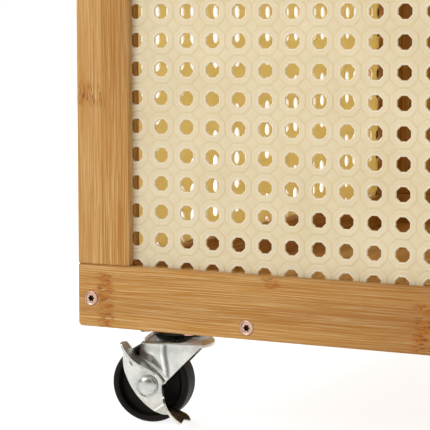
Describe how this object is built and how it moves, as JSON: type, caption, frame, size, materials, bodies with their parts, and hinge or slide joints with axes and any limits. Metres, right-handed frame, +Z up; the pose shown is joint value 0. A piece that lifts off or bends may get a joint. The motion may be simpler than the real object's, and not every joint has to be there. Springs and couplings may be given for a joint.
{
  "type": "laundry sorter",
  "caption": "Rolling laundry sorter with bamboo frames, stamped cane panels, hinged lids, a dividing panel and braked swivel casters.",
  "frame": {"origin": "on the ground under the middle of the whole sorter", "axes": "+X right seen from the front, +Y to the back, +Z up; the front faces -Y"},
  "size_m": [0.6, 0.4054, 0.6398],
  "materials": {
    "bamboo": "satin lacquer",
    "cane": "embossed matt",
    "zinc": "bright zinc plate",
    "screw_zinc": "zinc plate",
    "black_plastic": "satin moulded"
  },
  "bodies": {
    "body": {"front_post_left": "bamboo", "front_post_right": "bamboo", "front_centre_post": "bamboo", "front_bottom_rail": "bamboo", "front_top_rail": "bamboo", "back_stile_left": "bamboo", "back_stile_right": "bamboo", "back_centre_stile": "bamboo", "back_bottom_rail": "bamboo", "back_top_rail": "bamboo", "left_front_stile": "bamboo", "left_rear_stile": "bamboo", "left_bottom_rail": "bamboo", "left_top_rail": "bamboo", "right_front_stile": "bamboo", "right_rear_stile": "bamboo", "right_bottom_rail": "bamboo", "right_top_rail": "bamboo", "divider_frame": "bamboo", "floor_slat_left": "bamboo", "floor_board_left": "bamboo", "floor_board_centre": "bamboo", "floor_board_right": "bamboo", "floor_slat_right": "bamboo", "front_panel_left": "cane", "front_panel_right": "cane", "back_panel_left": "cane", "back_panel_right": "cane", "left_panel": "cane", "right_panel": "cane", "divider_panel": "cane", "front_screws": "screw_zinc", "frame_screws": "screw_zinc", "caster_screws": "screw_zinc", "hinge_fixed_leaves": "zinc", "hinge_pins": "zinc", "caster_plates": "zinc", "caster_kingpins": "zinc"},
    "front_left_caster": {"front_left_fork": "zinc", "front_left_axle": "zinc"},
    "front_left_roller": {"front_left_wheel": "black_plastic"},
    "front_left_brake": {"front_left_brake_lever": "zinc"},
    "front_right_caster": {"front_right_fork": "zinc", "front_right_axle": "zinc"},
    "front_right_roller": {"front_right_wheel": "black_plastic"},
    "front_right_brake": {"front_right_brake_lever": "zinc"},
    "rear_left_caster": {"rear_left_fork": "zinc", "rear_left_axle": "zinc"},
    "rear_left_roller": {"rear_left_wheel": "black_plastic"},
    "rear_right_caster": {"rear_right_fork": "zinc", "rear_right_axle": "zinc"},
    "rear_right_roller": {"rear_right_wheel": "black_plastic"},
    "lid_left": {"lid_left_frame": "bamboo", "lid_left_panel": "cane", "lid_left_hinge_leaves": "zinc"},
    "lid_right": {"lid_right_frame": "bamboo", "lid_right_panel": "cane", "lid_right_hinge_leaves": "zinc"}
  },
  "joints": [
    {"name": "front_left_swivel", "type": "hinge", "parent": "body", "child": "front_left_caster", "pos_m": [-0.262, -0.17275, 0.04], "axis": [0, 0, 1], "continuous": true},
    {"name": "front_left_roll", "type": "hinge", "parent": "front_left_caster", "child": "front_left_roller", "pos_m": [-0.27374, -0.17525, 0.019], "axis": [-0.2079, 0.9781, 0], "continuous": true},
    {"name": "front_left_brake_tilt", "type": "hinge", "parent": "front_left_caster", "child": "front_left_brake", "pos_m": [-0.27374, -0.17525, 0.019], "axis": [0.2079, -0.9781, 0], "range_deg": [0, 18]},
    {"name": "front_right_swivel", "type": "hinge", "parent": "body", "child": "front_right_caster", "pos_m": [0.262, -0.17275, 0.04], "axis": [0, 0, 1], "continuous": true},
    {"name": "front_right_roll", "type": "hinge", "parent": "front_right_caster", "child": "front_right_roller", "pos_m": [0.25009, -0.17421, 0.019], "axis": [-0.1219, 0.9925, 0], "continuous": true},
    {"name": "front_right_brake_tilt", "type": "hinge", "parent": "front_right_caster", "child": "front_right_brake", "pos_m": [0.25009, -0.17421, 0.019], "axis": [0.1219, -0.9925, 0], "range_deg": [0, 18]},
    {"name": "rear_left_swivel", "type": "hinge", "parent": "body", "child": "rear_left_caster", "pos_m": [-0.262, 0.16725, 0.04], "axis": [0, 0, 1], "continuous": true},
    {"name": "rear_left_roll", "type": "hinge", "parent": "rear_left_caster", "child": "rear_left_roller", "pos_m": [-0.27359, 0.16414, 0.019], "axis": [-0.2588, 0.9659, 0], "continuous": true},
    {"name": "rear_right_swivel", "type": "hinge", "parent": "body", "child": "rear_right_caster", "pos_m": [0.262, 0.16725, 0.04], "axis": [0, 0, 1], "continuous": true},
    {"name": "rear_right_roll", "type": "hinge", "parent": "rear_right_caster", "child": "rear_right_roller", "pos_m": [0.25018, 0.16517, 0.019], "axis": [-0.1736, 0.9848, 0], "continuous": true},
    {"name": "lid_left_hinge", "type": "hinge", "parent": "body", "child": "lid_left", "pos_m": [-0.1505, 0.20025, 0.6255], "axis": [-1, 0, 0], "range_deg": [0, 100]},
    {"name": "lid_right_hinge", "type": "hinge", "parent": "body", "child": "lid_right", "pos_m": [0.1505, 0.20025, 0.6255], "axis": [-1, 0, 0], "range_deg": [0, 100]}
  ]
}
